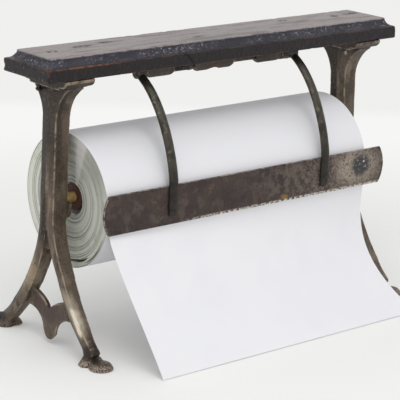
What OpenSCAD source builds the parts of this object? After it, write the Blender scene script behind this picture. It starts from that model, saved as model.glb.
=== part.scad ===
// Counter-top wrapping paper dispenser: a moulded board on two cast stands, with a sprung cutter bar.
// X runs along the board, -Y is the side the paper comes out of, Z = 0 is the counter.

/* [Board] */
// Length of the board
board_l = 508; // [480:1:620]
// Width of the board
board_w = 84; // [80:1:110]
// Thickness of the square-edged lower part
slab_t = 14.6; // [12:0.2:20]
// Height of the cove moulding above it
cove_h = 9.6; // [9:0.2:14]
// How far the cove moulding steps in on every side
cove_inset = 9.5; // [7:0.5:10]
// Narrow flat left outside the cove
cove_lip = 1.1; // [0.6:0.1:3]
// Rounding of the board's worn edges
edge_r = 1.3; // [0.5:0.1:3]

/* [Stands] */
// Height of the board's underside above the counter
under = 303; // [285:1:400]
// Distance from the middle to the centre plane of each stand, under the board
stand_x = 211.5; // [209:0.5:228]
// How far the stands' centre line lies behind the board's
stand_back = 2; // [0:0.5:6]
// Outward lean of each stand, in degrees
lean = 1.4; // [0:0.1:2.5]
// Column width, along the board
col_w = 19; // [15:0.5:22]
// Column depth, front to back
col_d = 25; // [21:0.5:29]
// How far the ridge stands out in the middle of a column's outer side
col_ridge = 1.8; // [0.5:0.1:3]
// Height above the counter at which the column starts to split into two legs
split_z = 150; // [135:1:180]
// Width of a leg, along the board
leg_w = 12.5; // [9:0.5:17]
// Reach of each foot's middle from the stand's centre line
foot_y = 85; // [80:1:95]
// Radius of a foot's toe lobe
toe_r = 14; // [12:0.5:16]
// Height of a foot pad
foot_h = 7.5; // [5:0.5:12]
// Thickness of the web between the legs
web_t = 5.5; // [4:0.5:10]
// Radius of the web's two arches
arch_r = 23; // [18:0.5:25]
// Height of an arch's centre above the counter
arch_z = 12.5; // [10:0.5:16]
// Distance from the web's middle to an arch's centre
arch_y = 35; // [33:0.5:38]
// Height of the web's band above its arches
web_band = 21.5; // [16:0.5:24]
// Width of the top flange, along the board
flange_w = 38.5; // [38:0.5:48]
// Thickness of the flange round the column
flange_t = 12; // [9:0.5:14]
// Thickness of the flange at its tips
flange_tip_t = 4; // [3:0.5:6]
// How far one screw of the left stand has worked loose
screw_loose = 5; // [0:0.5:7]

/* [Roll] */
// Width of the paper
paper_w = 381; // [300:1:386]
// Outside diameter of the roll
roll_d = 150; // [90:1:176]
// Bore of the roll
bore_d = 37; // [33:0.5:60]
// How far the roll sits to the left of the middle
roll_shift = 6.5; // [0:0.5:8]
// How far the inner layers have slipped sideways in the roll
slip = 8; // [0.5:0.5:9]
// Height of the mandrel's axis above the counter
mandrel_z = 163.5; // [150:0.5:200]
// Diameter of the wooden mandrel
mandrel_d = 30; // [24:0.5:31]
// Diameter of the metal journals
journal_d = 12; // [8:0.5:14]
// Length of journal that is driven into the wood
journal_in = 32; // [20:1:50]

/* [Cutter] */
// Length of the cutter bar
blade_l = 416; // [350:1:440]
// How far the bar's middle lies to the right of the board's
bar_shift = 3; // [0:0.5:8]
// Height of the cutter bar
blade_h = 44; // [38:0.5:52]
// Thickness of the cutter bar
blade_t = 2.6; // [2:0.1:4]
// Bulge of the bar's rounded ends
blade_bulge = 7; // [2:0.5:10]
// Width of an arm
arm_w = 11.5; // [8:0.5:14]
// Thickness of an arm
arm_t = 5; // [3.5:0.5:7]
// Straight length of an arm above the cutter bar
arm_straight = 1; // [0.5:0.5:20]
// Distance from the middle to each arm
arm_x = 112.6; // [106:0.2:130]
// How far the hinge plate with its lugs sits to the left of the middle
hinge_shift = 6.5; // [0:0.5:10]
// How far the pivot rod lies in front of the board's centre line
pivot_front = 12; // [8:0.5:18]
// How far the pivot rod's axis lies below the board
pivot_drop = 8; // [7.5:0.5:10]
// Diameter of the pivot rod
rod_d = 5; // [4:0.5:6]
// Diameter of the return spring's wire
wire_d = 1.2; // [0.8:0.1:1.6]
// Turns of the return spring
spring_turns = 8; // [5:1:10]

/* [Paper sheet] */
// Thickness that the hanging sheet is drawn at
sheet_t = 0.5; // [0.4:0.1:1]
// Reach of the sheet's front edge from the board's centre line
sheet_reach = 158; // [145:1:200]
// Sideways drift of the sheet at its front edge
sheet_drift = 11; // [0:0.5:14]

/* [Hidden] */
$fn = 64;
// Gap kept between faces that only just meet, and the smaller one of a running fit
gap = 0.3;
fit = 0.05;

// The origin is the middle of the footprint, so the board's centre line lies behind it
toe_out = 10;
toe_in = 8;
toe_side = 5.5;
toe_slope = 3.5;
heel_r = toe_r - 4;
rear_reach = stand_back + foot_y + toe_out + toe_r;
board_y = (sheet_reach - rear_reach) / 2;
stand_y = board_y + stand_back;
cove_r = cove_inset - cove_lip;

// Stand
tip_r = 4.5;
tip_lobe_y = 31;
tip_lobe_r = flange_t - 2.5;
flange_half_y = 27;
gusset_h = 40;
gusset_w = 24;
gusset_r = (gusset_h * gusset_h + gusset_w * gusset_w) / (2 * gusset_w);
gusset_top = under - flange_t + 1;
pendant_r = arch_y - arch_r - 1.5;
pendant_low = 4;
pendant_z = pendant_low + pendant_r;
leg_rings = 28;
leg_path = [[col_d / 4, split_z], [4, split_z * 2 / 3], [foot_y - 40, 34], [foot_y - 3, 7]];
leg_depth = [col_d / 2, 13.5, 16];
crotch_z = 0.73 * split_z;
crotch_w = leg_w;
fork_h = 30;
foot_x = under * tan(lean);

// Cradle hook that carries a journal
col_in_x = stand_x + (under - mandrel_z) * tan(lean) - col_w / 2;
hook_in_x = paper_w / 2 + roll_shift + 1.2;
hook_w = 11.5;
hook_drop = 22.5;
hook_nose = 4;
hook_back = 7;

// Stand screws, one at each corner of a column
screw_x = col_w / 2 + 4.6;
screw_y = col_d / 2 + 1.5;
screw_d = 4.4;
screw_head_d = 8;
screw_head_h = 3.6;
screw_in = 11;

// Roll: it hangs on the mandrel, pushed back a little by the cutter bar
journal_r = journal_d / 2;
mandrel_l = 2 * (hook_in_x - 9);
hang = (bore_d - mandrel_d) / 2 - gap;
hang_angle = 25;
roll_y = stand_y + hang * sin(hang_angle);
roll_z = mandrel_z - hang * cos(hang_angle);
roll_front = roll_y - roll_d / 2;
roll_steps = 6;
journal_end = col_in_x - gap;

// Cutter: the arms' curve starts above the bar and runs to the pivot
pivot_y = board_y - pivot_front;
pivot_z = under - pivot_drop;
blade_back = roll_front - sheet_t - 2 * gap;
blade_front = blade_back - blade_t;
blade_z = roll_z;
arm_y = blade_front - arm_t / 2;
arm_cz = blade_z + blade_h / 2 + arm_straight;
arm_run = pivot_y - arm_y;
arm_drop = pivot_z - arm_cz;
arm_r = (arm_run * arm_run + arm_drop * arm_drop) / (2 * arm_run);
arm_cy = arm_y + arm_r;
arm_angle = atan2(arm_drop, arm_cy - pivot_y);
arm_crown = 0.62 * arm_w;
arm_tip_z = blade_z - blade_h / 2 + 8;
arm_tip_t = 1.2;
hub_r = pivot_drop - 1.5;
rivet_d = 4;
rivet_z = [blade_z + 10, blade_z - 4];

// Hinge plate: two end lugs and a middle one under a plate
plate_t = 3;
plate_y0 = -9;
plate_y1 = 24;
lug_d = 11;
lug_drop = 15;
lug_side = [60, arm_x - arm_w / 2 - hinge_shift - 2];
lug_mid = [-31, 26];
lug_chamfer = 5;
lug_arch_r = 18;
lug_arch_h = 2.6;
plate_screw_x = [-79, -14, 14, 79];
plate_screw_y = 16.5;
plate_screw_d = 3.6;
plate_screw_head_d = 7.4;
plate_screw_head_h = 2.8;
plate_screw_in = 9;

// Return spring, wound round the rod between the left lug and its collar
pin_d = 2.4;
collar_w = 4.5;
collar_r = rod_d / 2 + 2;
collar_x1 = lug_mid[0] - 3;
spring_x1 = collar_x1 - collar_w - wire_d / 2 - gap;
spring_x0 = -lug_side[0] + wire_d / 2 + gap;
spring_rings = 8;
coil_gap = 0.15;
spring_r = (rod_d / 2 + wire_d / 2 + coil_gap) / cos(180 / spring_rings);
spring_pitch = (spring_x1 - spring_x0) / spring_turns;
spring_sides = 6;
spring_leg = 13;
spring_leg_z = pivot_drop - plate_t - gap - wire_d / 2;

// Hanging sheet: it clings to the roll, then falls behind the bar and out to the counter
sheet_r = roll_d / 2 + gap + sheet_t / 2;
sheet_x = -paper_w / 2 - roll_shift;
sheet_start = 5;
sheet_leave = 10.5;
sheet_hug = 5;
sheet_flat = 4;
sheet_fall = 20;
sheet_floor = gap + sheet_t / 2;
blade_low = blade_z - blade_h / 2;

echo("least gap between the spring's turns", spring_pitch - wire_d);

// Small helpers

// Extrudes an outline drawn in (y, z) from x0 to x1
module along_x(x0, x1) {
    translate([x0, 0, 0]) rotate([90, 0, 90]) linear_extrude(height = x1 - x0) children();
}

module rod_x(x0, x1, r) {
    translate([x0, 0, 0]) rotate([0, 90, 0]) cylinder(h = x1 - x0, r = r);
}

function bezier(p, t) = pow(1 - t, 3) * p[0] + 3 * t * pow(1 - t, 2) * p[1]
    + 3 * t * t * (1 - t) * p[2] + pow(t, 3) * p[3];

function bezier_dir(p, t) = let (d = pow(1 - t, 2) * (p[1] - p[0]) + 2 * t * (1 - t) * (p[2] - p[1])
    + t * t * (p[3] - p[2])) d / norm(d);

function blend(w, t) = pow(1 - t, 2) * w[0] + 2 * t * (1 - t) * w[1] + t * t * w[2];

// Skins a stack of closed rings, which run counter-clockwise seen along it, into one solid of triangles.
// The side named by mate is split along its other diagonal, so that it stays parallel to the one across from it.
module skin(rings, mate = -1) {
    n = len(rings[0]);
    m = len(rings);
    walls = [for (i = [0:m - 2], j = [0:n - 1], k = [0, 1]) let (a = i * n + j, b = i * n + (j + 1) % n)
        j == mate ? (k == 0 ? [a, b, a + n] : [b, b + n, a + n]) : (k == 0 ? [a, b, b + n] : [a, b + n, a + n])];
    ends = [for (j = [1:n - 2], k = [0, 1]) k == 0 ? [0, j + 1, j] : (m - 1) * n * [1, 1, 1] + [0, j, j + 1]];
    polyhedron(points = [for (ring = rings, p = ring) p], faces = concat(walls, ends));
}

// Round tube through a list of points, none of whose steps runs along X
module tube(path, r, sides) {
    last = len(path) - 1;
    skin([for (i = [0:last]) let (d = path[min(i + 1, last)] - path[max(i - 1, 0)], u = cross(d, [1, 0, 0]),
        a = u / norm(u), b = cross(d, a) / norm(d))
        [for (j = [0:sides - 1]) path[i] + r * (cos(360 * j / sides) * a - sin(360 * j / sides) * b)]]);
}

// Board

// Outline of the board seen from one end, with the cove cut from both sides
module board_outline(w) {
    difference() {
        union() {
            translate([-w / 2 + edge_r, 0]) square([w - 2 * edge_r, slab_t + cove_h]);
            translate([-w / 2, edge_r]) square([w, slab_t - 2 * edge_r]);
            for (s = [-1, 1], z = [edge_r, slab_t - edge_r]) translate([s * (w / 2 - edge_r), z]) circle(edge_r);
        }
        for (s = [0, 1]) mirror([s, 0]) {
            translate([w / 2 - cove_lip, slab_t + cove_r]) circle(cove_r);
            translate([w / 2 - cove_lip, slab_t]) square([cove_lip + 1, cove_h + 1]);
            translate([w / 2 - cove_inset, slab_t + cove_r]) square([cove_inset + 1, cove_h]);
        }
    }
}

module board() {
    color("#3a3234") difference() {
        intersection() {
            translate([0, board_y, under]) along_x(-board_l / 2, board_l / 2) board_outline(board_w);
            translate([0, board_y + board_w / 2, under]) rotate([90, 0, 0]) linear_extrude(height = board_w)
                board_outline(board_l);
        }
        for (s = [-1, 1]) stand_screw_places(s)
            translate([0, 0, -1]) cylinder(h = screw_in + 1.5, d = screw_d + 2 * fit);
        plate_screw_places() translate([0, 0, -1]) cylinder(h = plate_screw_in + 1.5, d = plate_screw_d + 2 * fit);
    }
}

// Stands

// What leans is drawn upright and turned about the top of the stand
module leaning() {
    translate([0, 0, under]) rotate([0, -lean, 0]) translate([0, 0, -under]) children();
}

// Section of a column or leg, its flat side inwards and its ridge outwards
function bar_section(half_w, half_d) =
    [[-half_w, -half_d], [half_w, -half_d], [half_w + col_ridge, 0], [half_w, half_d], [-half_w, half_d]];

// Half the width of a leg at station t
function leg_half(t) = (leg_w + (col_w - leg_w) * (1 - t)) / 2;

// Section of the column, whose ridge stands out by mid in its middle and by side halfway to its edges
function column_section(mid, side) = let (w = col_w / 2, d = col_d / 2)
    [[-w, -d], [w, -d], [w + side, -d / 2], [w + mid, 0], [w + side, d / 2], [w, d], [-w, d]];

// Column: its ridge forks over the two legs, and a filler closes the crotch between them
module column() {
    single = [col_ridge, 0.55 * col_ridge];
    skin([for (r = [concat(under - flange_t / 2, single), concat(split_z + fork_h, single), [split_z, 0, col_ridge]])
        [for (v = column_section(r[1], r[2])) [v[0], v[1], r[0]]]]);
    translate([-crotch_w / 2, -col_d / 3, crotch_z]) cube([crotch_w, col_d * 2 / 3, split_z + 2 - crotch_z]);
}

// Coves that spread the column's head into the flange, front and back
module gussets() {
    along_x(-col_w / 2, col_w / 2) for (s = [0, 1]) mirror([s, 0]) difference() {
        translate([col_d / 2 - 2, gusset_top - gusset_h]) square([gusset_w + 2, gusset_h]);
        translate([col_d / 2 + gusset_r, gusset_top - gusset_h]) circle(gusset_r, $fn = 128);
    }
}

// Screw flange with a rounded lobe under each tip
module flange() {
    half = board_w / 2;
    intersection() {
        along_x(-flange_w / 2, flange_w / 2) intersection() {
            union() {
                translate([-half, under - flange_tip_t]) square([2 * half, flange_tip_t]);
                translate([-flange_half_y, under - flange_t]) square([2 * flange_half_y, flange_t]);
                for (s = [-1, 1]) translate([s * tip_lobe_y, under]) circle(tip_lobe_r);
            }
            translate([-half, under - 20]) square([2 * half, 20]);
        }
        translate([0, 0, under - 20]) linear_extrude(height = 20) {
            square([flange_w, 2 * (half - tip_r)], center = true);
            square([flange_w - 2 * tip_r, 2 * half], center = true);
            for (sx = [-1, 1], sy = [-1, 1]) translate([sx * (flange_w / 2 - tip_r), sy * (half - tip_r)]) circle(tip_r);
        }
    }
}

// One curved leg: the bar's section follows the path down to the foot
module leg(side) {
    skin([for (i = [0:leg_rings]) let (t = i / leg_rings, c = bezier(leg_path, t), d = bezier_dir(leg_path, t))
        [for (v = bar_section(leg_half(t), blend(leg_depth, t) / 2))
            let (w = side * v[1]) [v[0], side * (c[0] - w * d[1]), c[1] + w * d[0]]]]);
}

// Web with two arches, the cusp between them and the pendant below it
module web() {
    along_x(-web_t / 2, web_t / 2) difference() {
        union() {
            for (s = [0, 1]) mirror([s, 0]) intersection() {
                translate([arch_y, arch_z]) circle(arch_r + web_band);
                translate([-0.1, arch_z - 1]) square([arch_y + 6.1, arch_r + web_band + 1]);
            }
            translate([0, pendant_z]) circle(pendant_r);
            translate([-pendant_r, pendant_z]) square([2 * pendant_r, arch_z + arch_r / 2 - pendant_z]);
        }
        for (s = [-1, 1]) translate([s * arch_y, arch_z]) {
            circle(arch_r);
            translate([-arch_r, -arch_r]) square([2 * arch_r, arch_r]);
        }
    }
}

// Three-lobed foot pad with sloping sides, its toe pointing along y = dir
module foot(dir) {
    translate([foot_x, dir * foot_y, 0]) {
        translate([0, dir * toe_out, 0]) cylinder(h = foot_h, r1 = toe_r, r2 = toe_r - toe_slope);
        for (s = [-1, 1]) translate([s * toe_side, -dir * toe_in, 0])
            cylinder(h = foot_h, r1 = heel_r, r2 = heel_r - toe_slope);
    }
}

// Open hook on the inner side of the column, in which a journal lies
module hook() {
    wall = hook_w - journal_r - fit;
    translate([0, 0, mandrel_z]) along_x(hook_in_x - stand_x, col_in_x - stand_x + 2) difference() {
        union() {
            translate([0, hook_w - hook_drop]) circle(hook_w);
            translate([-hook_w, hook_w - hook_drop]) square([2 * hook_w, hook_drop - hook_w - hook_nose]);
            translate([journal_r + fit, -hook_nose - 1]) square([wall, hook_nose + hook_back + 1 - wall / 2]);
            translate([journal_r + fit + wall / 2, hook_back - wall / 2]) circle(wall / 2);
        }
        circle(journal_r + fit);
    }
}

module stand() {
    difference() {
        union() {
            leaning() {
                column();
                gussets();
                web();
                leg(-1);
                leg(1);
            }
            translate([0, -stand_back, 0]) flange();
            hook();
            foot(-1);
            foot(1);
        }
        for (sx = [-1, 1], sy = [-1, 1]) translate([sx * screw_x, sy * screw_y, under - flange_t - 1])
            cylinder(h = flange_t + 2, d = screw_d + 2 * fit);
    }
}

module stand_left() {
    color("#5c5146") translate([-stand_x, stand_y, 0]) mirror([1, 0, 0]) stand();
}

module stand_right() {
    color("#5c5146") translate([stand_x, stand_y, 0]) stand();
}

module stand_screw_places(side) {
    for (sx = [-1, 1], sy = [-1, 1])
        translate([side * (stand_x + sx * screw_x), stand_y + sy * screw_y, under])
            translate([0, 0, side < 0 && sx > 0 && sy > 0 ? -screw_loose : 0]) children();
}

// Slotted round-headed wood screw, its head down and its neck through grip mm of metal
module wood_screw(d, head_d, head_h, grip, depth) {
    r = (head_d * head_d / 4 + head_h * head_h) / (2 * head_h);
    difference() {
        union() {
            translate([0, 0, -grip - 0.5]) cylinder(h = grip + 0.5 + depth - d / 2, d = d);
            translate([0, 0, depth - d / 2]) cylinder(h = d / 2, d1 = d, d2 = 0.8);
            intersection() {
                translate([0, 0, -grip - head_h + r]) sphere(r);
                translate([0, 0, -grip - head_h]) cylinder(h = head_h, d = head_d + 1);
            }
        }
        translate([-head_d, -0.5, -grip - head_h - 1]) cube([2 * head_d, 1, 2.1]);
    }
}

module stand_screws(side) {
    color("#3f3834") stand_screw_places(side)
        wood_screw(screw_d, screw_head_d, screw_head_h, flange_t, screw_in);
}

// Cutter hinge

// One lug under the plate, with chamfered lower corners and, if it is hollowed, an arched underside
module lug(x0, x1, hollowed) {
    intersection() {
        translate([0, 0, -lug_drop]) along_x(x0, x1) {
            translate([-lug_d / 2, lug_d / 2]) square([lug_d, lug_drop - lug_d / 2]);
            translate([0, lug_d / 2]) circle(lug_d / 2);
        }
        translate([0, lug_d, -lug_drop]) rotate([90, 0, 0]) linear_extrude(height = 2 * lug_d) difference() {
            polygon([[x0, lug_drop], [x0, lug_chamfer], [x0 + lug_chamfer, 0], [x1 - lug_chamfer, 0],
                [x1, lug_chamfer], [x1, lug_drop]]);
            if (hollowed) translate([(x0 + x1) / 2, lug_arch_h - lug_arch_r]) circle(lug_arch_r);
        }
    }
}

module hinge_plate() {
    color("#453c35") translate([-hinge_shift, pivot_y, under]) difference() {
        union() {
            translate([-lug_side[1], plate_y0, -plate_t]) cube([2 * lug_side[1], plate_y1 - plate_y0, plate_t]);
            lug(-lug_side[1], -lug_side[0], false);
            lug(lug_side[0], lug_side[1], false);
            lug(lug_mid[0], lug_mid[1], true);
        }
        translate([0, 0, -pivot_drop]) rod_x(-lug_side[1] - 1, lug_side[1] + 1, rod_d / 2 + fit);
        for (x = plate_screw_x) translate([x, plate_screw_y, -plate_t - 1])
            cylinder(h = plate_t + 2, d = plate_screw_d + 2 * fit);
    }
}

module plate_screw_places() {
    for (x = plate_screw_x) translate([x - hinge_shift, pivot_y + plate_screw_y, under]) children();
}

module hinge_plate_screws() {
    color("#6b5f52") plate_screw_places()
        wood_screw(plate_screw_d, plate_screw_head_d, plate_screw_head_h, plate_t, plate_screw_in);
}

// Each hub reaches from its lug to the outer side of its arm, and its pin crosses it in the middle
hub_x1 = arm_x + arm_w / 2 - 0.5;
function hub_half(side) = (hub_x1 - lug_side[1] - gap + side * hinge_shift) / 2;
function pin_x(side) = side * (hub_x1 - hub_half(side));

// Rod that turns with the arms, cross-drilled for their pins
module pivot_rod() {
    color("#6e655c") translate([0, pivot_y, pivot_z]) difference() {
        rod_x(-hub_x1 - 0.4, hub_x1 + 0.4, rod_d / 2);
        for (s = [-1, 1]) translate([pin_x(s), 0, -rod_d]) cylinder(h = 2 * rod_d, d = pin_d + 2 * fit);
    }
}

module arm_pins() {
    color("#7a6f62") for (s = [-1, 1]) translate([pin_x(s), pivot_y, pivot_z - hub_r - 0.4])
        cylinder(h = 2 * hub_r + 0.8, d = pin_d);
}

// Half-round section of an arm, drawn in (distance from the curve's centre, width), its flat side inwards
module arm_section() {
    intersection() {
        translate([arm_r - arm_t / 2, -arm_w / 2]) square([arm_t, arm_w]);
        translate([arm_r + arm_t / 2 - arm_crown, 0]) circle(arm_crown);
    }
}

// Straight end of an arm, which lies on the cutter bar and thins out towards a round tip
module arm_tongue() {
    intersection() {
        translate([0, arm_cy, arm_tip_z]) linear_extrude(height = arm_cz - arm_tip_z) rotate(-90) arm_section();
        translate([0, arm_y + arm_t, arm_tip_z]) rotate([90, 0, 0]) linear_extrude(height = 2 * arm_t) {
            translate([-arm_w / 2, arm_w / 2]) square([arm_w, arm_cz - arm_tip_z - arm_w / 2]);
            translate([0, arm_w / 2]) circle(arm_w / 2);
        }
        along_x(-arm_w, arm_w) polygon([[blade_front, arm_cz], [blade_front, arm_tip_z],
            [blade_front - arm_tip_t, arm_tip_z], [blade_front - arm_t, blade_z - 2], [blade_front - arm_t, arm_cz]]);
    }
}

module rivet_holes() {
    for (z = rivet_z) translate([0, blade_back + 1, z]) rotate([90, 0, 0])
        cylinder(h = arm_t + blade_t + 2, d = rivet_d + 2 * fit);
}

module arm(side) {
    color("#4f4a42") difference() {
        union() {
            translate([side * arm_x, arm_cy, arm_cz]) rotate([90, 0, -90])
                rotate_extrude(angle = arm_angle, $fn = 128) arm_section();
            translate([side * arm_x, 0, 0]) arm_tongue();
            translate([pin_x(side), pivot_y, pivot_z]) rod_x(-hub_half(side), hub_half(side), hub_r);
        }
        translate([0, pivot_y, pivot_z]) rod_x(-hub_x1 - 1, hub_x1 + 1, rod_d / 2 + fit);
        translate([pin_x(side), pivot_y, pivot_z - hub_r - 1]) cylinder(h = 2 * hub_r + 2, d = pin_d + 2 * fit);
        translate([side * arm_x, 0, 0]) rivet_holes();
    }
}

module arm_left() {
    arm(-1);
}

module arm_right() {
    arm(1);
}

// Cutter bar with rounded ends
module cutter_bar() {
    bulge_r = (blade_h * blade_h / 4 + blade_bulge * blade_bulge) / (2 * blade_bulge);
    color("#4a403a") difference() {
        translate([bar_shift, blade_back, blade_z]) rotate([90, 0, 0]) linear_extrude(height = blade_t) intersection() {
            square([blade_l, blade_h], center = true);
            union() {
                square([blade_l - 2 * blade_bulge, blade_h], center = true);
                for (s = [-1, 1]) translate([s * (blade_l / 2 - bulge_r), 0]) circle(bulge_r, $fn = 128);
            }
        }
        for (s = [-1, 1]) translate([s * arm_x, 0, 0]) rivet_holes();
    }
}

// Rivets dressed flush with the arms' crowned faces
module cutter_rivets() {
    color("#565047") for (s = [-1, 1]) translate([s * arm_x, 0, 0]) intersection() {
        for (z = rivet_z) translate([0, blade_back, z]) rotate([90, 0, 0]) cylinder(h = arm_t + blade_t, d = rivet_d);
        union() {
            arm_tongue();
            translate([-arm_w, blade_front - gap, arm_tip_z]) cube([2 * arm_w, blade_t + gap, arm_cz - arm_tip_z]);
        }
    }
}

// Torsion spring: its fixed leg lies under the hinge plate and its other end meets the collar
module return_spring() {
    n = spring_turns * spring_rings;
    coil = [for (i = [0:n]) let (a = 90 + 360 * i / spring_rings)
        [spring_x0 + (spring_x1 - spring_x0) * i / n, spring_r * cos(a), spring_r * sin(a)]];
    leg = [for (k = [1, 0.5]) [spring_x0, k * spring_leg, spring_r + (spring_leg_z - spring_r) * k]];
    color("#57504a") translate([-hinge_shift, pivot_y, pivot_z]) tube(concat(leg, coil), wire_d / 2, spring_sides);
}

module spring_collar() {
    color("#6e655c") translate([-hinge_shift, pivot_y, pivot_z]) difference() {
        rod_x(collar_x1 - collar_w, collar_x1, collar_r);
        rod_x(collar_x1 - collar_w - 1, collar_x1 + 1, rod_d / 2 + fit);
    }
}

// Roll and mandrel

module mandrel() {
    color("#6a3a25") translate([0, stand_y, mandrel_z]) difference() {
        rod_x(-mandrel_l / 2, mandrel_l / 2, mandrel_d / 2);
        for (s = [-1, 1]) rod_x(s * mandrel_l / 2 - journal_in, s * mandrel_l / 2 + journal_in, journal_r + fit);
    }
}

// Metal journal driven into the end of the mandrel
module journal(side) {
    in_x = mandrel_l / 2 - journal_in + 1;
    color("#8d7446") translate([side * (in_x + journal_end) / 2, stand_y, mandrel_z])
        rod_x((in_x - journal_end) / 2, (journal_end - in_x) / 2, journal_r);
}

module journal_left() {
    journal(-1);
}

module journal_right() {
    journal(1);
}

// Roll whose inner layers have slipped to the right: its left end is dished and its right end stands out
module paper_roll() {
    r0 = bore_d / 2;
    r1 = roll_d / 2;
    dish = [for (i = [0:roll_steps]) let (k = i / roll_steps) [r0 + (r1 - r0) * k, slip * pow(1 - k, 1.3)]];
    color("#e6e6ea") translate([sheet_x, roll_y, roll_z]) rotate([0, 90, 0]) rotate_extrude($fn = 128)
        polygon(concat(dish, [for (i = [roll_steps:-1:0]) dish[i] + [0, paper_w]]));
}

// Hanging sheet

// Height of station i while the sheet clings to the roll
function hug_z(i) = roll_z + sheet_start - (sheet_start + sheet_r * sin(sheet_leave)) * min(i, sheet_hug) / sheet_hug;

function hug_y(z) = roll_y - sqrt(sheet_r * sheet_r - pow(z - roll_z, 2));

// Left edge: straight down behind the bar, then out over the counter
function left_edge(i) = let (k = i - sheet_hug)
    k <= 0 ? [hug_y(max(hug_z(i), roll_z)), hug_z(i)]
    : k <= sheet_flat ? [hug_y(roll_z), hug_z(sheet_hug) + (blade_low - hug_z(sheet_hug)) * k / sheet_flat]
    : bezier([[hug_y(roll_z), blade_low], [hug_y(roll_z) - 3, blade_low - 24],
        [board_y - 0.87 * sheet_reach, 0.3 * blade_low], [board_y - sheet_reach, sheet_floor]],
        (k - sheet_flat) / (sheet_fall - sheet_flat));

// Right edge: it clings to the roll for longer and bows out lower down
function right_edge(i) = let (k = i - sheet_hug, leave = [hug_y(hug_z(sheet_hug)), hug_z(sheet_hug)])
    k <= 0 ? [hug_y(hug_z(i)), hug_z(i)]
    : bezier([leave, leave + 56 * [sin(sheet_leave), -cos(sheet_leave)],
        [board_y - 0.39 * sheet_reach, 0.29 * blade_low], [board_y - sheet_reach, sheet_floor]], k / sheet_fall);

// Front and back points of the sheet at station i of one edge
function sheet_faces(edge, i) = let (d = edge[min(i + 1, len(edge) - 1)] - edge[max(i - 1, 0)],
    n = sheet_t / 2 * [d[1], -d[0]] / norm(d)) [edge[i] + n, edge[i] - n];

module paper_sheet() {
    last = sheet_hug + sheet_fall;
    left = [for (i = [0:last]) left_edge(i)];
    right = [for (i = [0:last]) right_edge(i)];
    color("#ececf0") skin([for (i = [0:last]) let (x0 = sheet_x + sheet_drift * pow(i / last, 2), x1 = x0 + paper_w,
        a = sheet_faces(left, i), b = sheet_faces(right, i))
        [[x0, a[0][0], a[0][1]], [x1, b[0][0], b[0][1]], [x1, b[1][0], b[1][1]], [x0, a[1][0], a[1][1]]]], 2);
}

board();
stand_left();
stand_right();
stand_screws(-1);  // stand_screws_left
stand_screws(1);  // stand_screws_right
hinge_plate();
hinge_plate_screws();
pivot_rod();
arm_left();
arm_right();
arm_pins();
cutter_bar();
cutter_rivets();
return_spring();
spring_collar();
mandrel();
journal_left();
journal_right();
paper_roll();
paper_sheet();
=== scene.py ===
"""Looks of the wrapping paper dispenser: varnished board, browned cast iron, pitted steel bar and
white paper."""

import math
from types import SimpleNamespace

import bmesh
import bpy
import numpy as np
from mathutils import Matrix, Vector, noise


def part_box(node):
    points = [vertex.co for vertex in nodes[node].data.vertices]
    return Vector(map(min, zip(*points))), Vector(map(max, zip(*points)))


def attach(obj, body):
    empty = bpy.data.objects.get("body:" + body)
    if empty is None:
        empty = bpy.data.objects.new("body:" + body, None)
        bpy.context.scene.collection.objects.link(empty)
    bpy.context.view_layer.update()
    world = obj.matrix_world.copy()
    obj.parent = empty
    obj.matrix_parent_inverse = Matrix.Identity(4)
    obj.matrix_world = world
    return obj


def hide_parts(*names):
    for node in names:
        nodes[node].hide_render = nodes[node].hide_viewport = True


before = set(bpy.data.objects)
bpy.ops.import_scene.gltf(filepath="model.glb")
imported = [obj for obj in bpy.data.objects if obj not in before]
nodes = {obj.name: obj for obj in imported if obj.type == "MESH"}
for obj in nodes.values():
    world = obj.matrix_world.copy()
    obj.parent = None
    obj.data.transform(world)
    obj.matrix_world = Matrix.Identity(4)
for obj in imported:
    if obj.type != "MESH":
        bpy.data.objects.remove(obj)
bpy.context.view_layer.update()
scene = bpy.context.scene
MM = 0.001

# Camera, fitted to points of the board, columns, feet and web marked in the photograph
CAMERA_PLACE = (-1.302, -1.5015, 0.698)
CAMERA_TURN = (74.177, -1.793, -39.766)
LENS = 162.0
SENSOR = 36.0

cam_data = bpy.data.cameras.new("camera")
cam_data.lens = LENS
cam_data.sensor_width = SENSOR
camera = bpy.data.objects.new("camera", cam_data)
camera.location = CAMERA_PLACE
camera.rotation_euler = [math.radians(a) for a in CAMERA_TURN]
scene.collection.objects.link(camera)
scene.camera = camera
scene.view_settings.view_transform = "Standard"

# Places that part.scad works out, in mm
BOARD_Y, BOARD_TOP = 23.5, 327.2
STAND_Y = 25.5
ROLL_Y, ROLL_Z = 26.852, 160.6
ROLL_R, BORE_R = 75.0, 18.5
ROLL_LEFT, PAPER_W, ROLL_SLIP = -197.0, 381.0, 8.0
BLADE_LOW, BLADE_TOP = 138.6, 182.6
PIVOT_Y, PIVOT_Z = 11.5, 295.0
SHEET_DRIFT = 11.0
# A leg's middle line from the fork to the foot: distance out from the column, and height
LEG_PATH = [(6.25, 150), (4, 100), (45, 34), (82, 7)]

# Settings of the nodes that calculate
ADD = {"operation": "ADD"}
SUBTRACT = {"operation": "SUBTRACT"}
MULTIPLY = {"operation": "MULTIPLY"}
MULTIPLY_ADD = {"operation": "MULTIPLY_ADD"}
LARGER = {"operation": "MAXIMUM"}


# Node and material helpers

def srgb(text):
    """Linear colour of an sRGB hex value."""
    parts = [int(text[i:i + 2], 16) / 255 for i in (1, 3, 5)]
    return tuple(c / 12.92 if c <= 0.04045 else ((c + 0.055) / 1.055) ** 2.4
                 for c in parts) + (1.0,)


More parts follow.
